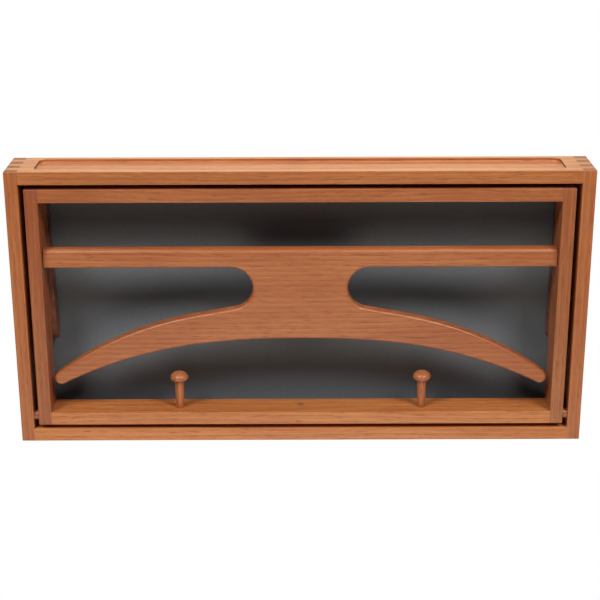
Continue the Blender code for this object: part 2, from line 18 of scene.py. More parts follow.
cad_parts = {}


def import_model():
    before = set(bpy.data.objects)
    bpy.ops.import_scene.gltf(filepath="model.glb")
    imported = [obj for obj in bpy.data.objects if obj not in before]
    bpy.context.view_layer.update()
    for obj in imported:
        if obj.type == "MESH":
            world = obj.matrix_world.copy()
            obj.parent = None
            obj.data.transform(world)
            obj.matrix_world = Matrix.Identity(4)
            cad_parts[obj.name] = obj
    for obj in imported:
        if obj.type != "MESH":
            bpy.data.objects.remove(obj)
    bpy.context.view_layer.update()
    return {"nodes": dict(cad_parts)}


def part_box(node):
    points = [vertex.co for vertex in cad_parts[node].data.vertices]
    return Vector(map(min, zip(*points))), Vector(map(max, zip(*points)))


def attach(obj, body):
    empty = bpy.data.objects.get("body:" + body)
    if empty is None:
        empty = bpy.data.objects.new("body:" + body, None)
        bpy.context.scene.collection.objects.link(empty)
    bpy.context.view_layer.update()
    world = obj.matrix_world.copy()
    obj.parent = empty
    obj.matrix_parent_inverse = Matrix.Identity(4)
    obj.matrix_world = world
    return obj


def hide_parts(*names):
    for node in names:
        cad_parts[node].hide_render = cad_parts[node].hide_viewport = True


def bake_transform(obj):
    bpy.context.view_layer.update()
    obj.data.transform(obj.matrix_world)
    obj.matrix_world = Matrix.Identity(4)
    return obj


LOG = logging.getLogger("valet")

SAME_PLACE = 1e-5
FACING = 0.9
OVERSHOOT = 0.002
SMOOTH_ANGLE = math.radians(40)
SIDES = {"left": -1, "right": 1}
# Radians of phase in one unit of a wave pattern
WAVE_PHASE = 20
# Colours of the two lower boards, which are yellower
GOLDEN = {"dark": "#a55925", "mid": "#be7038", "pale": "#ce8848"}


class Grain(Enum):
    """The axis that a board's fibres run along."""

    ALONG_X = 0
    ALONG_Z = 2

    @property
    def turn(self) -> tuple[float, float, float]:
        """The rotation that lays the fibres along a pattern's X."""
        return (0.0, math.pi / 2 if self is Grain.ALONG_Z else 0.0, 0.0)


class Pick(Enum):
    """What a selection in edit mode is made of."""

    VERTS = "VERT"
    EDGES = "EDGE"
    FACES = "FACE"


# Small helpers for colour, patterns and nodes


def linear(colour: str, tone: float = 1.0) -> tuple[float, float, float, float]:
    """Turns an sRGB hex colour into linear light.

    Args:
        colour: Six hex digits after a hash.
        tone: How many times as much light it gives back.

    Returns:
        Red, green, blue and a full alpha.
    """
    channels = [int(colour[i:i + 2], 16) / 255 for i in (1, 3, 5)]
    light = [tone * (c / 12.92 if c <= 0.04045 else ((c + 0.055) / 1.055) ** 2.4) for c in channels]
    return (light[0], light[1], light[2], 1.0)


def per_metre(size_mm: float) -> float:
    """The scale of a noise whose blotches are about this many millimetres across."""
    return 1000.0 / size_mm


def ring_scale(spacing_mm: float) -> float:
    """The scale of a wave pattern whose rings are this many millimetres apart."""
    return math.tau / WAVE_PHASE * per_metre(spacing_mm)


def add_node(
    tree: bpy.types.NodeTree,
    kind: str,
    settings: dict[str, object] | None = None,
    inputs: dict[str | int, object] | None = None,
) -> bpy.types.Node:
    """Adds a node with its settings and links.

    Args:
        tree: The node tree that it goes into.
        kind: The node's class name.
        settings: The node's own properties, where "stops" fills a colour ramp with (place, colour) pairs.
        inputs: For a socket's name or number, the value that it holds or the output that it is linked to.

    Returns:
        The new node.
    """
    node = tree.nodes.new(kind)
    for name, value in (settings or {}).items():
        if name == "stops":
            ramp = node.color_ramp.elements
            for place, _ in value[2:]:
                ramp.new(place)
            for stop, (place, colour) in zip(ramp, value):
                stop.position = place
                stop.color = colour
        else:
            setattr(node, name, value)
    for socket, value in (inputs or {}).items():
        if isinstance(value, bpy.types.NodeSocket):
            tree.links.new(value, node.inputs[socket])
        else:
            node.inputs[socket].default_value = value
    return node


def new_material(name: str) -> tuple[bpy.types.Material, bpy.types.NodeTree, bpy.types.Node]:
    """Starts a material.

    Args:
        name: The material's name.

    Returns:
        The material, its node tree and its Principled shader.
    """
    material = bpy.data.materials.new(name)
    material.use_nodes = True
    return material, material.node_tree, material.node_tree.nodes["Principled BSDF"]


def blotches(
    tree: bpy.types.NodeTree, size_mm: float, detail: float, *hues: tuple[float, str]
) -> tuple[bpy.types.Node, bpy.types.Node]:
    """Adds a noise in the object's own space and the colours that it runs through.

    Args:
        tree: The material's node tree.
        size_mm: How wide the blotches are.
        detail: How much finer noise lies on top.
        hues: (place, colour) pairs, from the noise's low end up.

    Returns:
        The noise and the colour ramp.
    """
    coords = add_node(tree, "ShaderNodeTexCoord")
    noise = add_node(
        tree,
        "ShaderNodeTexNoise",
        inputs={"Vector": coords.outputs["Object"], "Scale": per_metre(size_mm), "Detail": detail},
    )
    stops = [(spot, linear(hue)) for spot, hue in hues]
    return noise, add_node(tree, "ShaderNodeValToRGB", {"stops": stops}, {0: noise.outputs[0]})


def emboss(
    tree: bpy.types.NodeTree,
    shader: bpy.types.Node,
    height: bpy.types.NodeSocket,
    relief: tuple[float, float],
) -> None:
    """Bumps a shader's surface.

    Args:
        tree: The material's node tree.
        shader: The shader.
        height: The output that gives the height.
        relief: The bump's strength and its depth in metres.
    """
    strength, depth = relief
    inputs = {"Height": height, "Strength": strength, "Distance": depth}
    bump = add_node(tree, "ShaderNodeBump", inputs=inputs)
    tree.links.new(bump.outputs[0], shader.inputs["Normal"])


# Small helpers for modelling by hand


def activate(piece: bpy.types.Object) -> None:
    """Selects one object and nothing else."""
    bpy.ops.object.select_all(action="DESELECT")
    piece.select_set(True)
    bpy.context.view_layer.objects.active = piece


@contextmanager
def editing(piece: bpy.types.Object) -> Iterator[None]:
    """Opens one object in edit mode and leaves that mode at the end."""
    activate(piece)
    bpy.ops.object.mode_set(mode="EDIT")
    yield
    bpy.ops.object.mode_set(mode="OBJECT")


def pick(kind: Pick, test: Callable[[object], bool]) -> None:
    """Selects in edit mode what passes a test, and nothing else.

    Args:
        kind: Whether vertices, edges or faces are selected.
        test: Tells for each of them whether it is.
    """
    bpy.ops.mesh.select_mode(type=kind.value)
    bpy.ops.mesh.select_all(action="DESELECT")
    mesh = bpy.context.edit_object.data
    shape = bmesh.from_edit_mesh(mesh)
    shape.normal_update()
    items = {Pick.VERTS: shape.verts, Pick.EDGES: shape.edges, Pick.FACES: shape.faces}[kind]
    for item in items:
        if test(item):
            item.select_set(True)
    bmesh.update_edit_mesh(mesh)


def near(a: float, b: float) -> bool:
    """Whether two lengths are the same."""
    return abs(a - b) < SAME_PLACE


def corners(node: str) -> tuple[Vector, Vector]:
    """The lowest and the highest corner of a solid's box."""
    low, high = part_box(node)
    return Vector(low), Vector(high)


def lies_at(edge: bmesh.types.BMEdge, axis: int, place: float) -> bool:
    """Whether both ends of an edge lie at one place on an axis."""
    return all(near(vert.co[axis], place) for vert in edge.verts)


def round_edges(width: float, segments: int) -> None:
    """Rounds the selected edges over a width."""
    bpy.ops.mesh.bevel(offset=width, offset_type="OFFSET", segments=segments, affect="EDGES", profile=0.5)


def new_box(name: str, low: Vector, high: Vector) -> bpy.types.Object:
    """Adds a block between two corners.

    Args:
        name: The object's name.
        low: The lowest corner.
        high: The highest corner.

    Returns:
        The block, with its place in its mesh.
    """
    bpy.ops.object.select_all(action="DESELECT")
    bpy.ops.mesh.primitive_cube_add(size=1, location=(low + high) / 2)
    box = bpy.context.object
    box.name = name
    box.scale = high - low
    bpy.ops.object.transform_apply(location=True, rotation=True, scale=True)
    return box


def cut_away(piece: bpy.types.Object, cutter: bpy.types.Object) -> None:
    """Cuts one closed shape out of a piece and removes the cutter.

    Args:
        piece: The piece that loses material.
        cutter: The shape that is cut out.
    """
    activate(piece)
    bpy.ops.object.modifier_add(type="BOOLEAN")
    boolean = piece.modifiers[-1]
    boolean.operation = "DIFFERENCE"
    boolean.object = cutter
    bpy.ops.object.modifier_apply(modifier=boolean.name)
    bpy.data.objects.remove(cutter)


def drill(piece: bpy.types.Object, diameter: float, start: Vector, end: Vector) -> None:
    """Drills a round hole into a piece.

    Args:
        piece: The piece.
        diameter: The hole's diameter.
        start: One end of the hole's axis.
        end: The other end.
    """
    radius = diameter / 2
    length = (end - start).length
    profile = [(0.0, 0.0), (radius, 0.0), (radius, length), (0.0, length)]
    cut_away(piece, turned("bit", profile, start, end - start, sides=32))


def loop_of(name: str, points: list[Vector]) -> bpy.types.Object:
    """Adds a closed line through points, from a ring of as many corners.

    Args:
        name: The object's name.
        points: The places of its corners, in order.

    Returns:
        An object of edges only.
    """
    bpy.ops.object.select_all(action="DESELECT")
    bpy.ops.mesh.primitive_circle_add(vertices=len(points), radius=1, fill_type="NOTHING")
    line = bpy.context.object
    line.name = name
    for vert, point in zip(line.data.vertices, points):
        vert.co = point
    return line


def turned(
    name: str,
    profile: list[tuple[float, float]],
    foot: Vector,
    direction: Vector,
    sides: int = 64,
    hollow: bool = False,
) -> bpy.types.Object:
    """Turns a piece on a lathe.

    Args:
        name: The object's name.
        profile: (radius, height) points. A solid's first and last lie on the axis, a ring's don't.
        foot: Where height 0 of the axis is.
        direction: The way the axis points.
        sides: The facets of a full turn.
        hollow: Whether the piece is a ring, whose profile is closed.

    Returns:
        The turned piece, with its place in its mesh.
    """
    piece = loop_of(name, [Vector((radius, 0, height)) for radius, height in profile])
    with editing(piece):
        if not hollow:
            pick(Pick.EDGES, lambda edge: lies_at(edge, 0, 0.0))
            bpy.ops.mesh.delete(type="EDGE")
        bpy.ops.mesh.select_all(action="SELECT")
        bpy.ops.mesh.spin(steps=sides, angle=math.tau, center=(0, 0, 0), axis=(0, 0, 1))
        bpy.ops.mesh.select_all(action="SELECT")
        bpy.ops.mesh.remove_doubles(threshold=SAME_PLACE)
        bpy.ops.mesh.normals_make_consistent(inside=False)
    turn = Vector((0, 0, 1)).rotation_difference(direction).to_matrix().to_4x4()
    piece.matrix_world = Matrix.Translation(foot) @ turn
    bpy.ops.object.transform_apply(location=True, rotation=True, scale=True)
    return piece


def smooth(piece: bpy.types.Object) -> None:
    """Shades a piece so that its rounds look round and its flats stay flat."""
    activate(piece)
    bpy.ops.object.shade_smooth_by_angle(angle=SMOOTH_ANGLE)
    bpy.ops.object.modifier_add(type="WEIGHTED_NORMAL")
    weighted = piece.modifiers[-1]
    weighted.keep_sharp = True
    bpy.ops.object.modifier_apply(modifier=weighted.name)


def arc(centre: Vector, radius: float, start: float, end: float, step: float) -> list[Vector]:
    """Points on a circle in a plane, ends included.

    Args:
        centre: The circle's centre, with two coordinates.
        radius: The circle's radius.
        start: The angle of the first point.
        end: The angle of the last point.
        step: The largest angle between two points.

    Returns:
        The points, with two coordinates each.
    """
    count = max(2, math.ceil(abs(end - start) / step))
    angles = [start + (end - start) * i / count for i in range(count + 1)]
    return [centre + radius * Vector((math.cos(a), math.sin(a))) for a in angles]


def place(piece: bpy.types.Object, body: str, slot: str, *nodes: str) -> None:
    """Hands a finished piece to the frame.

    Args:
        piece: The piece, finished and in place.
        body: The body that it rides on.
        slot: The record's material slot that its finish comes from. Not used.
        nodes: The solids that it stands for.
    """
    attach(piece, body)
    if nodes:
        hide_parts(*nodes)
    LOG.info("%s rides on %s: %d faces", piece.name, body, len(piece.data.polygons))


# Finishes


@dataclass(frozen=True)
class OiledOak:
    """Oak, planed along the grain and oiled.

    Oil leaves a warm satin brown. Dark pores lie along the grain in short dashes, thickest where each
    year's ring starts, and the rings wander slowly across the board.

    Attributes:
        name: The material's name.
        grain: The axis that the fibres run along.
        log_place: How far the board was cut from the heart of the log, which shifts the pattern.
        dark: Colour of the late wood.
        mid: Colour of most of the wood.
        pale: Colour of the palest fibres.
        pore: Colour of the open pores.
        tone: How much lighter this board is than the plain wood. On the top and bottom boards of the case
            and the frame it also holds painted light, darker at the top and lighter at the bottom.
        wander: How far the rings stray from straight, in metres.
        roughness: Roughness of the oiled fibres between the pores.
        wax: How much of the surface the rubbed wax covers.
        wax_roughness: Roughness of the wax.
    """

    name: str
    grain: Grain
    log_place: tuple[float, float, float]
    dark: str = "#a5562a"
    mid: str = "#be6d3b"
    pale: str = "#ce844c"
    pore: str = "#9a4e29"
    tone: float = 1.0
    wander: float = 0.004
    roughness: float = 0.4
    wax: float = 0.2
    wax_roughness: float = 0.28
    ring_mm: float = 5.0
    fibre_mm: tuple[float, float] = (0.9, 36.0)
    tone_mm: tuple[float, float] = (28.0, 160.0)
    wander_mm: tuple[float, float] = (45.0, 220.0)
    # Real pores are about 0.3 mm wide: they are drawn wider so that they show
    pore_mm: tuple[float, float] = (0.5, 13.0)
    # Shares of the rings and of the slow tone in the colour
    ring_share: float = 0.22
    tone_share: float = 0.38
    # How much denser the pores are along a ring, and the noise from an open pore to solid wood
    pore_crowding: float = 0.12
    pore_edge: tuple[float, float] = (0.34, 0.48)
    pore_roughness: float = 0.2
    fibre_relief: float = 0.4
    relief: tuple[float, float] = (0.35, 0.0001)

    def streaks(
        self,
        tree: bpy.types.NodeTree,
        wood: bpy.types.NodeSocket,
        size_mm: tuple[float, float],
        detail: float,
    ) -> bpy.types.Node:
        """Adds a noise that is drawn out along the grain.

        Args:
            tree: The material's node tree.
            wood: The place in the wood, with X along the grain.
            size_mm: The streaks' width and length in millimetres.
            detail: How much finer noise lies on top.

        Returns:
            The noise node.
        """
        width, length = size_mm
        stretched = add_node(
            tree, "ShaderNodeMapping", inputs={"Vector": wood, "Scale": (width / length, 1.0, 1.0)}
        )
        return add_node(
            tree,
            "ShaderNodeTexNoise",
            inputs={"Vector": stretched.outputs[0], "Scale": per_metre(width), "Detail": detail},
        )

    def material(self) -> bpy.types.Material:
        """Makes the material: colour, roughness and bump come from one piece of wood in three dimensions."""
        material, tree, shader = new_material(self.name)
        coords = add_node(tree, "ShaderNodeTexCoord")
        laid = add_node(
            tree,
            "ShaderNodeMapping",
            inputs={
                "Vector": coords.outputs["Object"],
                "Rotation": self.grain.turn,
                "Location": self.log_place,
            },
        )
        stray = self.streaks(tree, laid.outputs[0], self.wander_mm, 1.0)
        reach = 2 * self.wander
        bent = add_node(
            tree,
            "ShaderNodeVectorMath",
            {"operation": "MULTIPLY_ADD"},
            {0: stray.outputs["Color"], 1: (0.0, reach, reach), 2: laid.outputs[0]},
        )
        wood = bent.outputs[0]
        rings = add_node(
            tree,
            "ShaderNodeTexWave",
            {"wave_type": "RINGS", "rings_direction": "X", "wave_profile": "SAW"},
            {"Vector": wood, "Scale": ring_scale(self.ring_mm), "Distortion": 0.6, "Detail Scale": 2.0},
        )
        fibre = self.streaks(tree, wood, self.fibre_mm, 4.0)
        tone = self.streaks(tree, wood, self.tone_mm, 1.0)
        pores = self.streaks(tree, wood, self.pore_mm, 1.0)
        year = add_node(
            tree,
            "ShaderNodeMix",
            inputs={0: self.ring_share, 2: fibre.outputs[0], 3: rings.outputs["Fac"]},
        )
        shade = add_node(
            tree,
            "ShaderNodeMix",
            inputs={0: self.tone_share, 2: year.outputs[0], 3: tone.outputs[0]},
        )
        hues = ((0.3, self.dark), (0.5, self.mid), (0.7, self.pale))
        colour = add_node(
            tree,
            "ShaderNodeValToRGB",
            {"stops": [(spot, linear(hue, self.tone)) for spot, hue in hues]},
            {0: shade.outputs[0]},
        )
        early = add_node(
            tree,
            "ShaderNodeMath",
            {"operation": "MULTIPLY_ADD"},
            {0: rings.outputs["Fac"], 1: self.pore_crowding, 2: pores.outputs[0]},
        )
        open_end, solid_end = self.pore_edge
        solid = add_node(
            tree,
            "ShaderNodeMapRange",
            inputs={"Value": early.outputs[0], "From Min": open_end, "From Max": solid_end},
        )
        drawn = add_node(
            tree,
            "ShaderNodeMix",
            {"data_type": "RGBA"},
            {0: solid.outputs[0], 6: linear(self.pore, self.tone), 7: colour.outputs[0]},
        )
        open_pore = self.roughness + self.pore_roughness
        gloss = add_node(
            tree,
            "ShaderNodeMapRange",
            inputs={"Value": solid.outputs[0], "To Min": open_pore, "To Max": self.roughness},
        )
        height = add_node(
            tree,
            "ShaderNodeMath",
            {"operation": "MULTIPLY_ADD"},
            {0: fibre.outputs[0], 1: self.fibre_relief, 2: solid.outputs[0]},
        )
        emboss(tree, shader, height.outputs[0], self.relief)
        tree.links.new(drawn.outputs[2], shader.inputs["Base Color"])
        tree.links.new(gloss.outputs[0], shader.inputs["Roughness"])
        shader.inputs["IOR"].default_value = 1.5
        shader.inputs["Coat Weight"].default_value = self.wax
        shader.inputs["Coat Roughness"].default_value = self.wax_roughness
        return material

    def end_grain(self) -> "OiledOak":
        """The same wood cut across: the open pores drink more oil, so it is darker and duller."""
        return replace(
            self,
            name=f"{self.name}_end_grain",
            dark="#85513a",
            mid="#9c6242",
            pale="#ae744e",
            pore="#764630",
            roughness=0.55,
            wax=0.0,
        )


@dataclass(frozen=True)
class PressedLaminate:
    """Dark grey laminate, pressed with a fine pebble that breaks its reflections into a soft sheen."""

    name: str = "dark_grey_pressed_laminate"
    dark: str = "#65696d"
    pale: str = "#686c70"
    roughness: float = 0.55
    specular: float = 0.06
    mottle_mm: float = 3.0
    pebble_mm: float = 0.8
    relief: tuple[float, float] = (0.12, 0.00005)

    def material(self) -> bpy.types.Material:
        """Makes the material."""
        material, tree, shader = new_material(self.name)
        mottle, colour = blotches(tree, self.mottle_mm, 3.0, (0.35, self.dark), (0.65, self.pale))
        coords = add_node(tree, "ShaderNodeTexCoord")
        pebble = add_node(
            tree,
            "ShaderNodeTexNoise",
            inputs={"Vector": coords.outputs["Object"], "Scale": per_metre(self.pebble_mm), "Detail": 1.0},
        )
        emboss(tree, shader, pebble.outputs[0], self.relief)
        tree.links.new(colour.outputs[0], shader.inputs["Base Color"])
        shader.inputs["Roughness"].default_value = self.roughness
        shader.inputs["Specular IOR Level"].default_value = self.specular
        return material


@dataclass(frozen=True)
class VegetableTannedLeather:
    """Brown leather, tanned with bark: a fine pebbled grain with a waxy sheen, and uneven colour."""

    name: str
    dark: str = "#5f3423"
    pale: str = "#7d4832"
    roughness: float = 0.52
    crease_roughness: float = 0.18
    grain_mm: float = 0.9
    stain_mm: float = 9.0
    relief: tuple[float, float] = (0.4, 0.0001)

    def material(self) -> bpy.types.Material:
        """Makes the material."""
        material, tree, shader = new_material(self.name)
        stain, colour = blotches(tree, self.stain_mm, 4.0, (0.35, self.dark), (0.65, self.pale))
        coords = add_node(tree, "ShaderNodeTexCoord")
        grain = add_node(
            tree,
            "ShaderNodeTexVoronoi",
            {"feature": "DISTANCE_TO_EDGE"},
            {"Vector": coords.outputs["Object"], "Scale": per_metre(self.grain_mm)},
        )
        swell = add_node(
            tree,
            "ShaderNodeMapRange",
            inputs={"Value": grain.outputs["Distance"], "From Max": 0.25},
        )
        emboss(tree, shader, swell.outputs[0], self.relief)
        gloss = add_node(
            tree,
            "ShaderNodeMapRange",
            inputs={
                "Value": swell.outputs[0],
                "To Min": self.roughness + self.crease_roughness,
                "To Max": self.roughness,
            },
        )
        tree.links.new(colour.outputs[0], shader.inputs["Base Color"])
        tree.links.new(gloss.outputs[0], shader.inputs["Roughness"])
        return material


@dataclass(frozen=True)
class TurnedBrass:
    """Brass, turned and left bare: bright yellow, a little dulled where it has been handled."""

    name: str = "turned_brass"
    dull: str = "#a8803c"
    bright: str = "#d2aa5c"
    dull_roughness: float = 0.43
    bright_roughness: float = 0.18
    tarnish_mm: float = 2.0

    def material(self) -> bpy.types.Material:
        """Makes the material."""
        material, tree, shader = new_material(self.name)
        tarnish, colour = blotches(tree, self.tarnish_mm, 4.0, (0.35, self.dull), (0.6, self.bright))
        gloss = add_node(
            tree,
            "ShaderNodeMapRange",
            inputs={
                "Value": tarnish.outputs[0],
                "To Min": self.dull_roughness,
                "To Max": self.bright_roughness,
            },
        )
        tree.links.new(colour.outputs[0], shader.inputs["Base Color"])
        tree.links.new(gloss.outputs[0], shader.inputs["Roughness"])
        shader.inputs["Metallic"].default_value = 1.0
        return material


@dataclass(frozen=True)
class PressedFelt:
    """Brown wool felt, pressed: matt, with loose fibres that catch light at its edges."""

    name: str = "brown_pressed_felt"
    dark: str = "#38281f"
    pale: str = "#5a4334"
    fibre_mm: float = 0.5
    relief: tuple[float, float] = (0.6, 0.0002)

    def material(self) -> bpy.types.Material:
        """Makes the material."""
        material, tree, shader = new_material(self.name)
        coords = add_node(tree, "ShaderNodeTexCoord")
        fibres = add_node(
            tree,
            "ShaderNodeTexNoise",
            inputs={
                "Vector": coords.outputs["Object"],
                "Scale": per_metre(self.fibre_mm),
                "Detail": 6.0,
                "Distortion": 1.5,
            },
        )
        colour = add_node(
            tree,
            "ShaderNodeValToRGB",
            {"stops": [(0.35, linear(self.dark)), (0.65, linear(self.pale))]},
            {0: fibres.outputs[0]},
        )
        emboss(tree, shader, fibres.outputs[0], self.relief)
        tree.links.new(colour.outputs[0], shader.inputs["Base Color"])
        shader.inputs["Roughness"].default_value = 0.95
        shader.inputs["Sheen Weight"].default_value = 0.3
        return material


# Boards with finger joints


@dataclass
class Board:
    """One board of a finger-jointed box: the solid that it stands for and the wood that it is cut from."""

    node: str
    wood: OiledOak
    piece: bpy.types.Object | None = None

    @property
    def run(self) -> int:
        """The axis that the board runs along, which is that of its fibres."""
        return self.wood.grain.value

    def dress(self) -> None:
        """Gives the board its wood, with end grain on the faces across its fibres."""
        smooth(self.piece)
        mesh = self.piece.data
        mesh.materials.append(self.wood.material())
        mesh.materials.append(self.wood.end_grain().material())
        for face in mesh.polygons:
            face.material_index = int(abs(face.normal[self.run]) > FACING)


@dataclass
class FingerBox:
    """Four boards joined at their ends with fingers, then eased along the outer and inner edges.

    Attributes:
        body: The body that the boards ride on.
        boards: The boards by their plain names.
        fingers: How many fingers share each joint.
        seam: Width of the glue line between two fingers.
        ease: Width of the rounding along the box's edges.
    """

    body: str
    boards: dict[str, Board]
    fingers: int
    seam: float = 0.0002
    ease: float = 0.0007
    low: Vector = field(init=False)
    high: Vector = field(init=False)
    thickness: float = field(init=False)

    def __post_init__(self) -> None:
        """Reads the box's corners and the boards' thickness from the frame."""
        boxes = [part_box(board.node) for board in self.boards.values()]
        self.low = Vector([min(low[i] for low, _ in boxes) for i in range(3)])
        self.high = Vector([max(high[i] for _, high in boxes) for i in range(3)])
        low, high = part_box(self.boards["left"].node)
        self.thickness = float(high[0] - low[0])

    def own_finger(self, depth: float, first: int) -> bool:
        """Whether a place in Y is the middle of one of a board's own fingers.

        Args:
            depth: The place in Y.
            first: The board's first finger, 0 for an upright board and 1 for a lying one.

        Returns:
            True for one of its fingers, and False for the other board's or for a seam.
        """
        share = (self.high.y - self.low.y) / self.fingers
        finger, across = divmod((depth - self.low.y) / share, 1)
        return finger % 2 == first and 0.4 < across < 0.6

    def on_rim(self, edge: bmesh.types.BMEdge) -> bool:
        """Whether an edge is one of the box's outer edges, or one of those round its opening."""
        outer = 0
        for axis in range(3):
            outer += any(lies_at(edge, axis, corner[axis]) for corner in (self.low, self.high))
        if outer >= 2:
            return True
        if not any(lies_at(edge, 1, corner.y) for corner in (self.low, self.high)):
            return False
        for axis, other in ((0, 2), (2, 0)):
            opening = self.high[axis] - self.thickness
            reach = self.high[other] - self.thickness + SAME_PLACE
            inside = all(abs(vert.co[other]) < reach for vert in edge.verts)
            if inside and any(lies_at(edge, axis, sign * opening) for sign in SIDES.values()):
                return True
        return False

    def build_board(self, board: Board) -> None:
        """Models a board: a block with its fingers drawn out at both ends and its edges eased.

        Args:
            board: The board, which gets its piece.
        """
        low, high = corners(board.node)
        run = board.run
        low[run] += self.thickness
        high[run] -= self.thickness
        piece = new_box(f"{board.node}_board", low, high)
        share = (self.high.y - self.low.y) / self.fingers
        first = int(board.wood.grain is Grain.ALONG_X)
        with editing(piece):
            for finger in range(1, self.fingers):
                for side in SIDES.values():
                    cut_at = self.low.y + finger * share + side * self.seam / 2
                    bpy.ops.mesh.select_all(action="SELECT")
                    bpy.ops.mesh.bisect(plane_co=(0, cut_at, 0), plane_no=(0, 1, 0))
            for end in SIDES.values():
                pick(
                    Pick.FACES,
                    lambda face: face.normal[run] * end > FACING
                    and self.own_finger(face.calc_center_median().y, first),
                )
                reach = Vector((0, 0, 0))
                reach[run] = end * self.thickness
                bpy.ops.mesh.extrude_region_move(TRANSFORM_OT_translate={"value": reach})
            pick(Pick.EDGES, self.on_rim)
            round_edges(self.ease, 3)
        board.piece = piece

    def build(self) -> None:
        """Models the four boards."""
        for board in self.boards.values():
            self.build_board(board)

    def dress(self) -> None:
        """Gives each board its wood and hands it to the frame."""
        for board in self.boards.values():
            board.dress()
            place(board.piece, self.body, "oak", board.node)


# Sub-assemblies


def oak_board(node: str, grain: Grain, log_place: tuple[float, float, float], **tones: object) -> Board:
    """A board cut from its own place in the log.

    Args:
        node: The solid that it stands for.
        grain: The axis of its fibres.
        log_place: Where it was cut.
        tones: Colours, patterns or a tone that differ from the plain wood's; the tone of the top and bottom
            boards is painted light.

    Returns:
        The board, not yet modelled.
    """
    return Board(node, OiledOak(f"oiled_oak_{node}", grain, log_place, **tones))


def case_boards() -> dict[str, Board]:
    """The case's four boards."""
    return {
        # Painted light: the top board's lower tone and the bottom board's higher tone make the case darker
        # at the top and lighter at the bottom.
        "top": oak_board(
            "case_top", Grain.ALONG_X, (0.31, 0.085, 0.02), tone=0.83, mid="#be703a", pale="#ce884b"
        ),
        "bottom": oak_board("case_bottom", Grain.ALONG_X, (1.27, 0.06, 0.055), tone=0.98, **GOLDEN),
        "left": oak_board("case_side_left", Grain.ALONG_Z, (2.15, 0.07, 0.04), tone=0.79),
        "right": oak_board("case_side_right", Grain.ALONG_Z, (3.42, 0.09, 0.05), tone=0.8),
    }


@dataclass
class Case:
    """The case: four boards with a tray in the top, a panel in a rebate and a rail for the wall screws."""

    box: FingerBox = field(default_factory=lambda: FingerBox("case", case_boards(), fingers=7))
    tray_end_rim: float = 0.025
    tray_long_rim: float = 0.0065
    tray_depth: float = 0.003
    tray_corner: float = 0.008
    tray_cove: float = 0.0015
    tray_lip: float = 0.0005
    rebate_gap: float = 0.0003
    bore_gap: float = 0.0003
    laminate: PressedLaminate = PressedLaminate()

    def build(self) -> None:
        """Models the boards, routs the tray and the rebate, and bores the dowels' seats."""
        self.box.build()
        self.rout_tray()
        low, high = corners("back_panel")
        spare = Vector((self.rebate_gap, self.rebate_gap, self.rebate_gap))
        for board in self.box.boards.values():
            cut_away(board.piece, new_box("rebate", low - spare, high + spare))
        for side in SIDES:
            low, high = corners(f"frame_pivot_{side}")
            middle = (low + high) / 2
            start = Vector((low.x - self.bore_gap, middle.y, middle.z))
            end = Vector((high.x + self.bore_gap, middle.y, middle.z))
            drill(self.box.boards[side].piece, high.z - low.z + 2 * self.bore_gap, start, end)

    def rout_tray(self) -> None:
        """Routs the shallow tray with round corners and a cove round its floor, and eases its lip."""
        top = self.box.high.z
        floor = top - self.tray_depth
        rim = Vector((self.tray_end_rim, self.tray_long_rim, 0))
        low = self.box.low + rim
        high = self.box.high - rim
        low.z = floor
        high.z = top + OVERSHOOT
        cutter = new_box("tray_cutter", low, high)
        with editing(cutter):
            pick(Pick.EDGES, lambda edge: near(edge.calc_length(), high.z - low.z))
            round_edges(self.tray_corner, 12)
            pick(Pick.EDGES, lambda edge: lies_at(edge, 2, floor))
            round_edges(self.tray_cove, 5)
        board = self.box.boards["top"].piece
        cut_away(board, cutter)
        with editing(board):
            pick(
                Pick.EDGES,
                lambda edge: lies_at(edge, 2, top)
                and len(edge.link_faces) == 2
                and any(abs(face.normal.z) < 1 - FACING for face in edge.link_faces)
                and all(
                    low.x - SAME_PLACE < vert.co.x < high.x + SAME_PLACE
                    and low.y - SAME_PLACE < vert.co.y < high.y + SAME_PLACE
                    for vert in edge.verts
                ),
            )
            round_edges(self.tray_lip, 2)

    def dress(self, nodes: dict[str, bpy.types.Object]) -> None:
        """Gives the boards, the panel and the rail their finishes.

        Args:
            nodes: The solids by name.
        """
        self.box.dress()
        nodes["back_panel"].data.materials.clear()
        nodes["back_panel"].data.materials.append(self.laminate.material())
        rail_wood = OiledOak("oiled_oak_hanging_rail", Grain.ALONG_X, (4.2, 0.05, 0.08))
        nodes["hanging_rail"].data.materials.clear()
        nodes["hanging_rail"].data.materials.append(rail_wood.material())


def frame_boards() -> dict[str, Board]:
    """The folding frame's four boards."""
    return {
        # Painted light: the top rail's lower tone and the bottom rail's higher tone make the frame darker at
        # the top and lighter at the bottom.
        "top": oak_board("frame_top_rail", Grain.ALONG_X, (5.1, 0.045, 0.03), tone=0.75, wander=0.009),
        "bottom": oak_board(
            "frame_bottom_rail", Grain.ALONG_X, (6.3, 0.07, 0.025), tone=0.94, wander=0.009, **GOLDEN
        ),
        "left": oak_board("frame_stile_left", Grain.ALONG_Z, (7.2, 0.06, 0.05), tone=0.64, mid="#be663a"),
        "right": oak_board("frame_stile_right", Grain.ALONG_Z, (8.5, 0.05, 0.07), tone=0.67),
    }


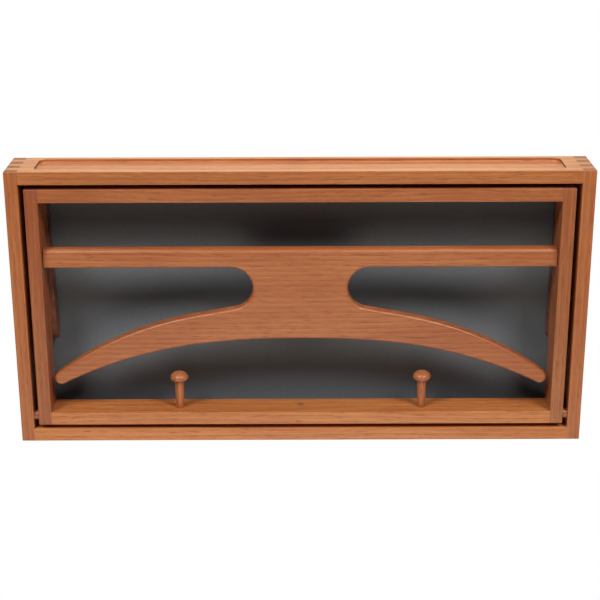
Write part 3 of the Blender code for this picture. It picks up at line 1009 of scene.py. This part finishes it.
@dataclass
class FoldFrame:
    """The frame that drops forward: four boards, bored for its dowels and the hanger's pins."""

    box: FingerBox = field(default_factory=lambda: FingerBox("fold_frame", frame_boards(), fingers=5))
    bore_gap: float = 0.0003

    def build(self) -> None:
        """Models the boards and bores them."""
        self.box.build()
        bottom = self.box.boards["bottom"].piece
        for side in SIDES:
            stile = self.box.boards[side].piece
            self.bore_for(f"frame_pivot_{side}", 0, stile, bottom)
            self.bore_for(f"hanger_pivot_{side}", 0, stile)

    def bore_for(self, node: str, axis: int, *pieces: bpy.types.Object) -> None:
        """Bores pieces for a round solid that lies along an axis.

        Args:
            node: The solid.
            axis: The axis that it lies along.
            pieces: The pieces that it goes into.
        """
        low, high = corners(node)
        across = 1 if axis != 1 else 0
        start = (low + high) / 2
        end = start.copy()
        start[axis] = low[axis] - self.bore_gap
        end[axis] = high[axis] + self.bore_gap
        for piece in pieces:
            drill(piece, high[across] - low[across] + 2 * self.bore_gap, start, end)

    def dress(self) -> None:
        """Gives the boards their wood."""
        self.box.dress()


@dataclass
class Hanger:
    """The one-piece hanger: a crossbar that is round on top, a neck, and two long bowed arms."""

    crossbar_height: float = 0.0175
    crossbar_round: float = 0.0045
    body_height: float = 0.086
    neck_width: float = 0.0862
    cutout_radius: float = 0.0198
    arm_reach: float = 0.2273
    arm_top_radius: float = 0.304
    arm_top_offset: float = 0.0418
    arm_straight: float = 0.0388
    arm_tip_radius: float = 0.0059
    arm_under_power: float = 2.5
    ease: float = 0.0026
    arc_step: float = math.radians(5)
    arm_steps: int = 40
    heel_passes: int = 8
    wood: OiledOak = OiledOak("oiled_oak_hanger", Grain.ALONG_X, (9.4, 0.06, 0.11), tone=0.78)

    def half_outline(self, end: float, top: float, apex: float) -> list[Vector]:
        """Half of the hanger, from the crossbar's end down to the middle of its lower edge.

        Args:
            end: The crossbar's end in X.
            top: The crossbar's top in Z.
            apex: The lower edge's highest point in Z.

        Returns:
            (x, z) points.
        """
        under = top - self.crossbar_height
        notch = Vector((self.neck_width / 2 + self.cutout_radius, under - self.cutout_radius))
        across = notch.x - self.arm_top_offset
        radii = self.cutout_radius + self.arm_top_radius
        drop = math.sqrt(radii**2 + self.arm_straight**2 - across**2)
        bow = Vector((self.arm_top_offset, notch.y - drop))
        meet = math.atan2(drop, across) - math.atan2(self.arm_straight, radii)
        inner = self.arm_top_radius - self.arm_tip_radius
        tip_angle = math.acos((self.arm_reach - self.arm_tip_radius - bow.x) / inner)
        tip = bow + inner * Vector((math.cos(tip_angle), math.sin(tip_angle)))
        lean = 0.0
        for _ in range(self.heel_passes):
            heel = tip - self.arm_tip_radius * Vector((math.sin(lean), math.cos(lean)))
            lean = math.atan(self.arm_under_power * (apex - heel.y) / heel.x)
        points = [Vector((end, top)), Vector((end, under))]
        points += arc(notch, self.cutout_radius, math.pi / 2, math.pi + meet, self.arc_step)
        points += arc(bow, self.arm_top_radius, meet, tip_angle, (meet - tip_angle) / self.arm_steps)
        points += arc(tip, self.arm_tip_radius, tip_angle, -math.pi / 2 - lean, 2 * self.arc_step)[1:]
        for i in range(1, self.arm_steps + 1):
            x = heel.x * (1 - i / self.arm_steps)
            points.append(Vector((x, apex - (apex - heel.y) * (x / heel.x) ** self.arm_under_power)))
        return points

    def build(self) -> bpy.types.Object:
        """Models the hanger: its outline is filled, drawn out to its thickness and eased all round.

        Returns:
            The hanger's piece.
        """
        low, high = corners("hanger")
        apex = high.z - self.body_height
        half = self.half_outline(high.x, high.z, apex)
        outline = half + [Vector((-point.x, point.y)) for point in reversed(half[:-1])]
        piece = loop_of("hanger_board", [Vector((point.x, low.y, point.y)) for point in outline])
        with editing(piece):
            bpy.ops.mesh.select_all(action="SELECT")
            bpy.ops.mesh.edge_face_add()
            bpy.ops.mesh.extrude_region_move(TRANSFORM_OT_translate={"value": (0, high.y - low.y, 0)})
            bpy.ops.mesh.select_all(action="SELECT")
            bpy.ops.mesh.normals_make_consistent(inside=False)

            def along(edge: bmesh.types.BMEdge) -> bool:
                """Whether an edge lies in the front or the back face."""
                return near(edge.verts[0].co.y, edge.verts[1].co.y)

            def is_end(edge: bmesh.types.BMEdge) -> bool:
                """Whether an edge belongs to one of the crossbar's ends."""
                return any(lies_at(edge, 0, sign * high.x) for sign in SIDES.values())

            def is_crest(edge: bmesh.types.BMEdge) -> bool:
                """Whether an edge is the crossbar's upper front edge."""
                return lies_at(edge, 1, low.y) and lies_at(edge, 2, high.z)

            pick(Pick.EDGES, lambda edge: along(edge) and not is_crest(edge) and not is_end(edge))
            round_edges(self.ease, 5)
            pick(Pick.EDGES, is_crest)
            round_edges(self.crossbar_round, 10)
        return piece

    def dress(self, piece: bpy.types.Object) -> None:
        """Gives the hanger its wood and hands it to the frame."""
        smooth(piece)
        piece.data.materials.append(self.wood.material())
        place(piece, "hanger", "oak", "hanger")


@dataclass
class Peg:
    """A turned peg: a stem that swells upwards to a domed head, on a tenon in the bottom rail."""

    side: str
    log_depth: float
    tenon_diameter: float = 0.005
    foot_diameter: float = 0.0076
    stem_diameter: float = 0.0085
    head_diameter: float = 0.0167
    head_height: float = 0.0086
    head_underside: float = 0.003
    stem_height: float = 0.0269
    shoulder: float = 0.0003
    quarter_steps: int = 12

    def build(self) -> bpy.types.Object:
        """Turns the peg.

        Returns:
            The peg's piece.
        """
        low, high = corners(f"peg_{self.side}")
        stem = self.stem_diameter / 2
        head = self.head_diameter / 2
        top = high.z - low.z
        widest = top - self.head_height + self.head_underside
        seat = top - self.head_height - self.stem_height
        profile = [
            (0.0, 0.0),
            (self.tenon_diameter / 2, 0.0),
            (self.tenon_diameter / 2, seat),
            (self.foot_diameter / 2, seat),
        ]
        quarter = [math.pi / 2 * i / self.quarter_steps for i in range(self.quarter_steps + 1)]
        for angle in quarter:
            radius = stem + (head - stem) * math.sin(angle)
            profile.append((radius, widest - self.head_underside * math.cos(angle)))
        for angle in quarter[1:-1]:
            profile.append((head * math.cos(angle), widest + (top - widest) * math.sin(angle)))
        profile.append((0.0, top))
        foot = Vector(((low.x + high.x) / 2, (low.y + high.y) / 2, low.z))
        return turned(f"turned_peg_{self.side}", profile, foot, Vector((0, 0, 1)))

    def dress(self, piece: bpy.types.Object) -> None:
        """Gives the peg its wood and hands it to the frame."""
        smooth(piece)
        spot = (10.3, self.log_depth, 0.02)
        wood = OiledOak(f"oiled_oak_peg_{self.side}", Grain.ALONG_Z, spot, tone=0.8)
        piece.data.materials.append(wood.material())
        place(piece, "fold_frame", "oak", f"peg_{self.side}")


@dataclass
class Dowels:
    """Plain round wood: the frame's two dowels, the hanger's pins and the flush plug in the bottom rail."""

    chamfer: float = 0.0004

    def build_rod(self, node: str, axis: int) -> bpy.types.Object:
        """Turns a rod with chamfered ends in the place of a round solid.

        Args:
            node: The solid.
            axis: The axis that it lies along.

        Returns:
            The rod's piece.
        """
        low, high = corners(node)
        across = 1 if axis != 1 else 0
        radius = (high[across] - low[across]) / 2
        length = high[axis] - low[axis]
        profile = [
            (0.0, 0.0),
            (radius - self.chamfer, 0.0),
            (radius, self.chamfer),
            (radius, length - self.chamfer),
            (radius - self.chamfer, length),
            (0.0, length),
        ]
        foot = (low + high) / 2
        foot[axis] = low[axis]
        direction = Vector((0, 0, 0))
        direction[axis] = 1
        return turned(f"{node}_rod", profile, foot, direction, sides=48)

    def build(self) -> None:
        """Turns and dresses every rod."""
        wood = OiledOak("oiled_oak_dowel", Grain.ALONG_X, (11.7, 0.04, 0.03), mid="#a05f3c", pale="#b8774d")
        plug_wood = OiledOak("oiled_oak_plug", Grain.ALONG_Z, (12.9, 0.03, 0.04), tone=1.2).end_grain()
        oak = wood.material()
        for side in SIDES:
            for node, body in ((f"frame_pivot_{side}", "case"), (f"hanger_pivot_{side}", "fold_frame")):
                piece = self.build_rod(node, 0)
                smooth(piece)
                piece.data.materials.append(oak)
                place(piece, body, "oak", node)
        plug = self.build_rod("rail_plug", 2)
        smooth(plug)
        plug.data.materials.append(plug_wood.material())
        place(plug, "fold_frame", "end_grain_oak", "rail_plug")


@dataclass
class Strap:
    """A leather strap that folds away behind a stile, and the tab that holds it there.

    Attributes:
        side: Which side of the case it is on.
        lean: How far the fold has slid sideways from straight below the rail, towards +X.
        shift: How far the whole strap sits from the middle of its slot, towards +X.
    """

    side: str
    lean: float
    shift: float
    thickness: float = 0.0025
    edge_round: float = 0.0004
    steps: int = 96
    tab_corner: float = 0.0045
    blend_inset: float = 0.0045
    leather: VegetableTannedLeather = VegetableTannedLeather("vegetable_tanned_leather")

    def build_strap(self) -> bpy.types.Object:
        """Lays a flat strip along the fold and gives it its thickness.

        Returns:
            The strap's piece, bent round its fold.
        """
        rear_low, rear_high = corners(f"strap_upper_{self.side}")
        front_low, front_high = corners(f"strap_lower_{self.side}")
        middle = (rear_low.x + rear_high.x) / 2
        width = rear_high.x - rear_low.x
        half = self.thickness / 2
        rear_y = rear_high.y - half
        front_y = front_low.y + half
        radius = (rear_y - front_y) / 2
        fold = Vector((0, (rear_y + front_y) / 2, rear_low.z + half + radius))
        rail_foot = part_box("hanging_rail")[0][2]
        rear_leg = rail_foot - fold.z
        front_leg = front_high.z - fold.z
        bend = math.pi * radius
        length = rear_leg + bend + front_leg
        bpy.ops.object.select_all(action="DESELECT")
        bpy.ops.mesh.primitive_grid_add(x_subdivisions=4, y_subdivisions=self.steps, size=1)
        piece = bpy.context.object
        piece.name = f"leather_strap_{self.side}"
        for vert in piece.data.vertices:
            run = (vert.co.y + 0.5) * length
            if run < rear_leg:
                spot = Vector((0, rear_y, rail_foot - run))
            elif run < rear_leg + bend:
                angle = (run - rear_leg) / radius
                spot = fold + radius * Vector((0, math.cos(angle), -math.sin(angle)))
            else:
                spot = Vector((0, front_y, fold.z + run - rear_leg - bend))
            fallen = (rail_foot - spot.z) / (rail_foot - rear_low.z)
            sideways = self.shift + self.lean * fallen
            vert.co = Vector((middle + vert.co.x * width + sideways, spot.y, spot.z))
        activate(piece)
        bpy.ops.object.modifier_add(type="SOLIDIFY")
        solidify = piece.modifiers[-1]
        solidify.thickness = self.thickness
        solidify.offset = 0.0
        bpy.ops.object.modifier_apply(modifier=solidify.name)
        self.soften_edges(piece)
        return piece

    def soften_edges(self, piece: bpy.types.Object) -> None:
        """Rounds the cut edges of a piece of leather."""
        activate(piece)
        bpy.ops.object.modifier_add(type="BEVEL")
        bevel = piece.modifiers[-1]
        bevel.width = self.edge_round
        bevel.segments = 3
        bevel.limit_method = "ANGLE"
        bevel.angle_limit = math.radians(60)
        bpy.ops.object.modifier_apply(modifier=bevel.name)
        smooth(piece)

    def build_tab(self) -> bpy.types.Object:
        """Cuts the strap's end, with two round corners.

        Returns:
            The tab's piece.
        """
        low, high = corners(f"strap_tab_{self.side}")
        piece = new_box(f"leather_tab_{self.side}", low, high)
        with editing(piece):
            pick(
                Pick.EDGES,
                lambda edge: lies_at(edge, 2, high.z) and near(edge.calc_length(), high.y - low.y),
            )
            round_edges(self.tab_corner, 8)
        self.soften_edges(piece)
        return piece

    def build_end(self) -> bpy.types.Object:
        """Cuts the strap's other end, which stays in its slot in the rail.

        Returns:
            The end's piece.
        """
        low, high = corners(f"strap_upper_{self.side}")
        low.x += self.shift
        high.x += self.shift
        low.y = high.y - self.thickness
        low.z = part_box("hanging_rail")[0][2]
        piece = new_box(f"leather_end_{self.side}", low, high)
        self.soften_edges(piece)
        return piece

    def build(self) -> None:
        """Makes the strap and its two ends and dresses them, and hands the two ends to the frame."""
        skin = self.leather.material()
        edge = replace(
            self.leather, name="burnished_leather_edge", dark="#43231a", pale="#553024", roughness=0.4
        ).material()
        strap = self.build_strap()
        tab = self.build_tab()
        end = self.build_end()
        for piece in (strap, tab, end):
            piece.data.materials.append(skin)
            piece.data.materials.append(edge)
            for face in piece.data.polygons:
                face.material_index = int(abs(face.normal.x) > FACING)
        halves = (f"strap_upper_{self.side}", f"strap_lower_{self.side}")
        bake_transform(strap)
        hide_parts(*halves)
        LOG.info("%s bends between its two lengths: %d faces", strap.name, len(strap.data.polygons))
        place(tab, "fold_frame", "leather", f"strap_tab_{self.side}")
        place(end, "case", "leather")


@dataclass
class Fittings:
    """The brass screws and washers of the straps, and the felt bumpers that the shut frame rests on."""

    shank_diameter: float = 0.0026
    head_height: float = 0.0018
    slot_width: float = 0.0008
    slot_depth: float = 0.0007
    washer_hole: float = 0.0032
    washer_chamfer: float = 0.0002
    bumper_edge: float = 0.0008
    quarter_steps: int = 10

    def build_screw(self, node: str, head_side: int) -> bpy.types.Object:
        """Turns a round-headed screw and saws its slot.

        Args:
            node: The solid that it stands for.
            head_side: 1 if the head looks towards the wall, and -1 if it looks to the front.

        Returns:
            The screw's piece.
        """
        low, high = corners(node)
        radius = (high.x - low.x) / 2
        shank = self.shank_diameter / 2
        neck = high.y - low.y - self.head_height
        profile = [(0.0, 0.0), (shank, shank), (shank, neck), (radius, neck)]
        for i in range(1, self.quarter_steps):
            angle = math.pi / 2 * i / self.quarter_steps
            profile.append((radius * math.cos(angle), neck + self.head_height * math.sin(angle)))
        profile.append((0.0, neck + self.head_height))
        tip = (low + high) / 2
        tip.y = low.y if head_side > 0 else high.y
        crown = high.y if head_side > 0 else low.y
        piece = turned(f"{node}_slotted", profile, tip, Vector((0, head_side, 0)), sides=40)
        kerf = Vector((radius + OVERSHOOT, self.slot_depth, self.slot_width / 2))
        middle = Vector((tip.x, crown, tip.z))
        cut_away(piece, new_box("kerf", middle - kerf, middle + kerf))
        return piece

    def build_washer(self, node: str) -> bpy.types.Object:
        """Turns a washer with chamfered edges.

        Args:
            node: The solid that it stands for.

        Returns:
            The washer's piece.
        """
        low, high = corners(node)
        outer = (high.x - low.x) / 2
        inner = self.washer_hole / 2
        length = high.y - low.y
        edge = self.washer_chamfer
        profile = [
            (inner, 0.0),
            (outer - edge, 0.0),
            (outer, edge),
            (outer, length - edge),
            (outer - edge, length),
            (inner, length),
        ]
        foot = Vector(((low.x + high.x) / 2, low.y, (low.z + high.z) / 2))
        return turned(f"{node}_ring", profile, foot, Vector((0, 1, 0)), sides=48, hollow=True)

    def build_bumper(self, node: str) -> bpy.types.Object:
        """Turns a felt disc with a soft rim.

        Args:
            node: The solid that it stands for.

        Returns:
            The bumper's piece.
        """
        low, high = corners(node)
        radius = (high.x - low.x) / 2
        length = high.y - low.y
        profile = [(0.0, 0.0)]
        for i in range(self.quarter_steps + 1):
            angle = math.pi / 2 * i / self.quarter_steps
            inset = self.bumper_edge * (1 - math.sin(angle))
            profile.append((radius - inset, self.bumper_edge * (1 - math.cos(angle))))
        profile += [(radius, length), (0.0, length)]
        foot = Vector(((low.x + high.x) / 2, low.y, (low.z + high.z) / 2))
        return turned(f"{node}_disc", profile, foot, Vector((0, 1, 0)), sides=40)

    def build(self) -> None:
        """Makes, dresses and places every fitting."""
        finishes = {"brass": TurnedBrass().material(), "felt": PressedFelt().material()}
        kinds = (
            ("strap_screw", "fold_frame", "brass", lambda node: self.build_screw(node, 1)),
            ("strap_case_screw", "case", "brass", lambda node: self.build_screw(node, -1)),
            ("strap_washer", "fold_frame", "brass", self.build_washer),
            ("bumper", "case", "felt", self.build_bumper),
        )
        for side in SIDES:
            for kind, body, slot, make in kinds:
                node = f"{kind}_{side}"
                piece = make(node)
                smooth(piece)
                piece.data.materials.append(finishes[slot])
                place(piece, body, slot, node)


# Studio


@dataclass(frozen=True)
class Lamp:
    """A soft square lamp: where it hangs, its side in metres, its watts and its colour."""

    spot: tuple[float, float, float]
    side: float
    watts: float
    colour: str = "#ffffff"

    def add(self) -> None:
        """Hangs the lamp so that it looks at the middle of the object."""
        bpy.ops.object.select_all(action="DESELECT")
        bpy.ops.object.light_add(type="AREA", location=self.spot)
        lamp = bpy.context.object
        lamp.rotation_euler = (-Vector(self.spot)).to_track_quat("-Z", "Y").to_euler()
        lamp.data.size = self.side
        lamp.data.energy = self.watts
        lamp.data.color = linear(self.colour)[:3]
        lamp.visible_camera = False


@dataclass
class Studio:
    """Plain soft light, a pale floor below and in front, a white surround and the camera.

    Attributes:
        eye: Where the camera stands.
        pitch: How far it looks down.
        yaw: How far it looks to the right.
        roll: How far it is turned about its own axis.
        lens: Its focal length in millimetres, on a sensor 36 mm wide.
    """

    eye: Vector = field(default_factory=lambda: Vector((-0.00229, -1.26222, 0.44053)))
    pitch: float = math.radians(19.607)
    yaw: float = math.radians(0.0889)
    roll: float = math.radians(-0.1506)
    lens: float = 85.4
    sensor: float = 36.0
    lamps: tuple[Lamp, ...] = (
        Lamp((-1.0, -1.2, 1.65), 0.6, 29.5),
        Lamp((1.0, -1.2, 1.65), 0.6, 29.5),
        Lamp((0.0, 0.3, 1.5), 0.8, 11.5),
        Lamp((0.0, -0.8, -0.65), 0.8, 3.6, "#fff2dc"),
        Lamp((0.0, 1.45, 0.5), 1.2, 7.0, "#fff2cb"),
    )
    surround_light: float = 0.08
    floor_colour: str = "#e9e7e3"
    floor_glow: float = 0.4
    floor_height: float = -0.75
    floor_width: float = 5.0
    floor_depth: float = 1.3
    roller_mm: float = 4.0
    floor_relief: tuple[float, float] = (0.1, 0.0005)

    def add_camera(self) -> None:
        """Sets up the camera."""
        bpy.ops.object.select_all(action="DESELECT")
        bpy.ops.object.camera_add(location=self.eye)
        camera = bpy.context.object
        turn = (
            Matrix.Rotation(-self.yaw, 3, "Z")
            @ Matrix.Rotation(math.pi / 2 - self.pitch, 3, "X")
            @ Matrix.Rotation(self.roll, 3, "Z")
        )
        camera.rotation_euler = turn.to_euler()
        camera.data.lens = self.lens
        camera.data.sensor_width = self.sensor
        bpy.context.scene.camera = camera

    def add_floor(self) -> None:
        """Lays the pale floor below the object, from the wall forwards."""
        half = self.floor_width / 2
        low = Vector((-half, -self.floor_depth, self.floor_height - OVERSHOOT))
        floor = new_box("studio_floor", low, Vector((half, 0, self.floor_height)))
        material, tree, shader = new_material("matt_painted_floor")
        coords = add_node(tree, "ShaderNodeTexCoord")
        roller = add_node(
            tree,
            "ShaderNodeTexNoise",
            inputs={"Vector": coords.outputs["Object"], "Scale": per_metre(self.roller_mm)},
        )
        emboss(tree, shader, roller.outputs[0], self.floor_relief)
        path = add_node(tree, "ShaderNodeLightPath")
        glow = add_node(
            tree,
            "ShaderNodeMapRange",
            inputs={"Value": path.outputs["Is Camera Ray"], "To Max": self.floor_glow},
        )
        tree.links.new(glow.outputs[0], shader.inputs["Emission Strength"])
        shader.inputs["Emission Color"].default_value = linear("#ffffff")
        shader.inputs["Base Color"].default_value = linear(self.floor_colour)
        shader.inputs["Roughness"].default_value = 0.8
        floor.data.materials.append(material)

    def add_surround(self) -> None:
        """Sets a white surround, which lights the object more softly than the camera sees it."""
        world = bpy.data.worlds.new("white_surround")
        bpy.context.scene.world = world
        world.use_nodes = True
        tree = world.node_tree
        path = add_node(tree, "ShaderNodeLightPath")
        strength = add_node(
            tree,
            "ShaderNodeMapRange",
            inputs={"Value": path.outputs["Is Camera Ray"], "To Min": self.surround_light, "To Max": 1.0},
        )
        background = tree.nodes["Background"]
        background.inputs["Color"].default_value = linear("#ffffff")
        tree.links.new(strength.outputs[0], background.inputs["Strength"])

    def build(self) -> None:
        """Sets up the whole studio."""
        self.add_camera()
        for lamp in self.lamps:
            lamp.add()
        self.add_floor()
        self.add_surround()
        bpy.context.scene.view_settings.view_transform = "Standard"


def main() -> None:
    """Builds and dresses the valet around its frame, and sets up the studio."""
    logging.basicConfig(level=logging.INFO, format="%(name)s: %(message)s")
    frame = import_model()
    Studio().build()
    case = Case()
    case.build()
    case.dress(frame["nodes"])
    fold_frame = FoldFrame()
    fold_frame.build()
    fold_frame.dress()
    hanger = Hanger()
    hanger.dress(hanger.build())
    for peg in (Peg("left", log_depth=0.12), Peg("right", log_depth=0.15)):
        peg.dress(peg.build())
    Dowels().build()
    for strap in (Strap("left", lean=0.004, shift=0.0), Strap("right", lean=-0.0025, shift=0.003)):
        strap.build()
    Fittings().build()


if __name__ == "__main__":
    main()
